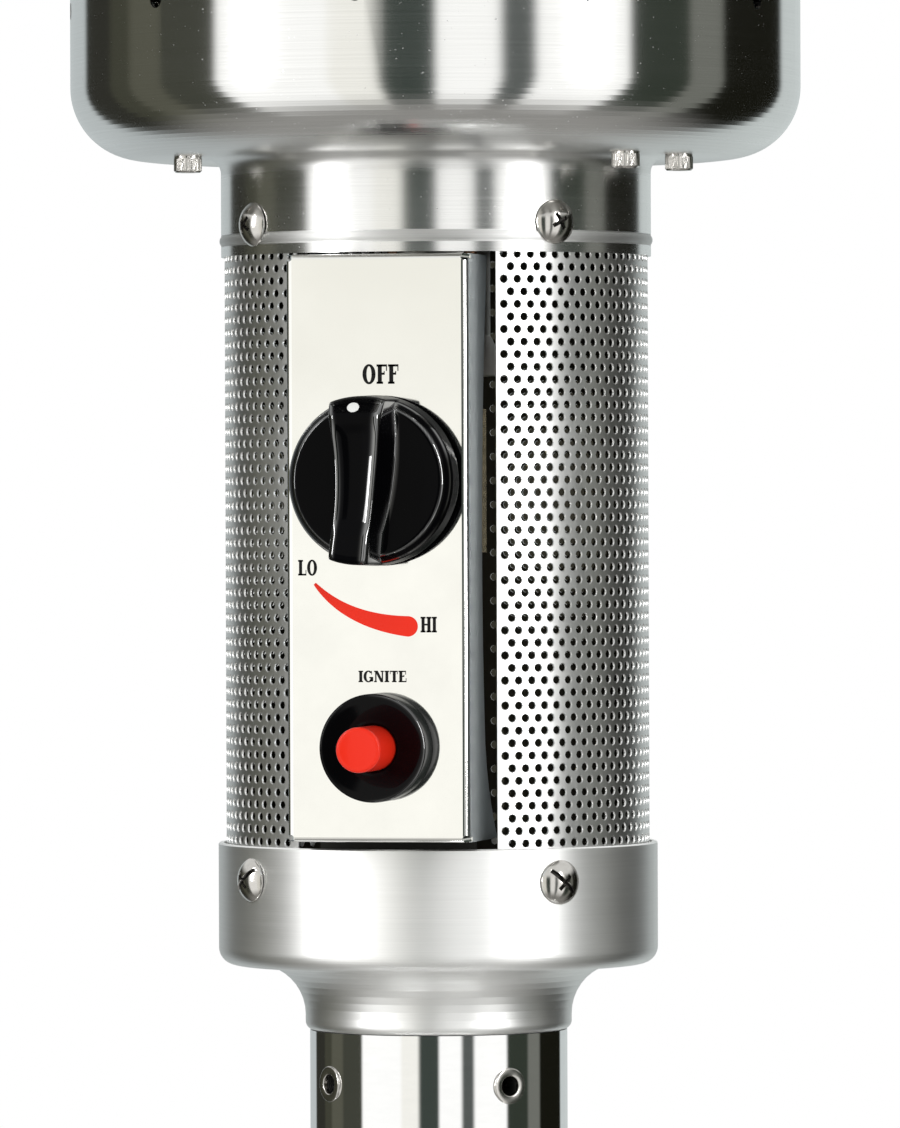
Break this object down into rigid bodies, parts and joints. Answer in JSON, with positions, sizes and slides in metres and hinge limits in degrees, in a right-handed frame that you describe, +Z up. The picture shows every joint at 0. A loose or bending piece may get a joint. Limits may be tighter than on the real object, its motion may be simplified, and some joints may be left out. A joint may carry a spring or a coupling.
{
  "type": "gas infrared heater",
  "caption": "Free-standing gas infrared heater: weighted base, polished post, control head with knob and igniter button in a perforated wrap, burner drum, emitter screen and reflector dish.",
  "frame": {"origin": "on the floor, under the axis of the post", "axes": "+Z up along the post, the control panel faces -Y, +X to the right of a person who faces the panel"},
  "size_m": [0.48, 0.48, 0.877],
  "materials": {
    "rubber": "matt black rubber",
    "black_paint": "black powder coat",
    "brushed_steel": "spun stainless steel, fine brushing round the axis",
    "polished_steel": "mirror-polished stainless steel",
    "satin_aluminium": "satin spun aluminium",
    "wrap_steel": "bright perforated stainless steel",
    "panel_steel": "bright satin stainless steel with printed legends",
    "screw_steel": "bright stainless fasteners",
    "zinc_steel": "zinc-plated steel",
    "black_gloss": "glossy black phenolic",
    "black_plastic": "black moulded plastic",
    "red_gloss": "glossy red plastic",
    "white_mark": "white inlay",
    "brass": "machined brass",
    "copper": "drawn copper tube",
    "heat_steel": "stainless steel toned by heat",
    "white_ceramic": "white ceramic",
    "reflector_aluminium": "bright spun aluminium"
  },
  "bodies": {
    "heater": {"rubber_feet": "rubber", "base_plate": "black_paint", "base_cover": "brushed_steel", "post_socket": "black_paint", "socket_bolts": "zinc_steel", "post": "polished_steel", "post_screws": "screw_steel", "post_ring": "polished_steel", "post_inserts": "zinc_steel", "gas_inlet": "brass", "inlet_saddle": "rubber", "inlet_locknut": "brass", "supply_tube": "copper", "post_adapter": "satin_aluminium", "adapter_screws": "zinc_steel", "lower_cup": "satin_aluminium", "cup_screws": "screw_steel", "wrap_nuts": "zinc_steel", "perforated_wrap": "wrap_steel", "upper_collar": "brushed_steel", "collar_screws": "screw_steel", "flange_screws": "zinc_steel", "control_panel": "panel_steel", "control_bracket": "zinc_steel", "bracket_screws": "zinc_steel", "stem_spring": "zinc_steel", "valve_body": "brass", "igniter_bezel": "black_gloss", "igniter_body": "black_plastic", "igniter_spring": "zinc_steel", "igniter_lead": "rubber", "injector": "brass", "mixer_tube": "heat_steel", "burner_drum": "brushed_steel", "drum_ring": "zinc_steel", "drum_screws": "screw_steel", "drum_lid": "brushed_steel", "lid_screws": "screw_steel", "burner_head": "heat_steel", "pilot_bracket": "heat_steel", "pilot_screws": "zinc_steel", "pilot_burner": "brass", "pilot_tube": "copper", "thermocouple": "copper", "spark_electrode": "white_ceramic", "emitter_screen": "heat_steel", "emitter_cap": "brushed_steel", "tie_rods": "zinc_steel", "rod_nuts": "zinc_steel", "rod_spacers": "brushed_steel", "reflector": "reflector_aluminium", "reflector_washers": "zinc_steel", "wing_nuts": "zinc_steel"},
    "stem_slider": {"stem_seat": "zinc_steel"},
    "control_knob": {"knob": "black_gloss", "knob_dot": "white_mark", "valve_stem": "zinc_steel"},
    "push_button": {"igniter_button": "red_gloss"}
  },
  "joints": [
    {"name": "knob_push", "type": "slide", "parent": "heater", "child": "stem_slider", "axis": [0, 1, 0], "range_m": [0, 0.003], "stiffness_N_per_m": 700, "springref_m": -0.006, "deforming": ["stem_spring"]},
    {"name": "knob_turn", "type": "hinge", "parent": "stem_slider", "child": "control_knob", "pos_m": [0, -0.0828, 0.4612], "axis": [0, -1, 0], "range_deg": [0, 200]},
    {"name": "button_push", "type": "slide", "parent": "heater", "child": "push_button", "axis": [0, 1, 0], "range_m": [0, 0.008], "stiffness_N_per_m": 400, "springref_m": -0.008, "deforming": ["igniter_spring"]}
  ]
}
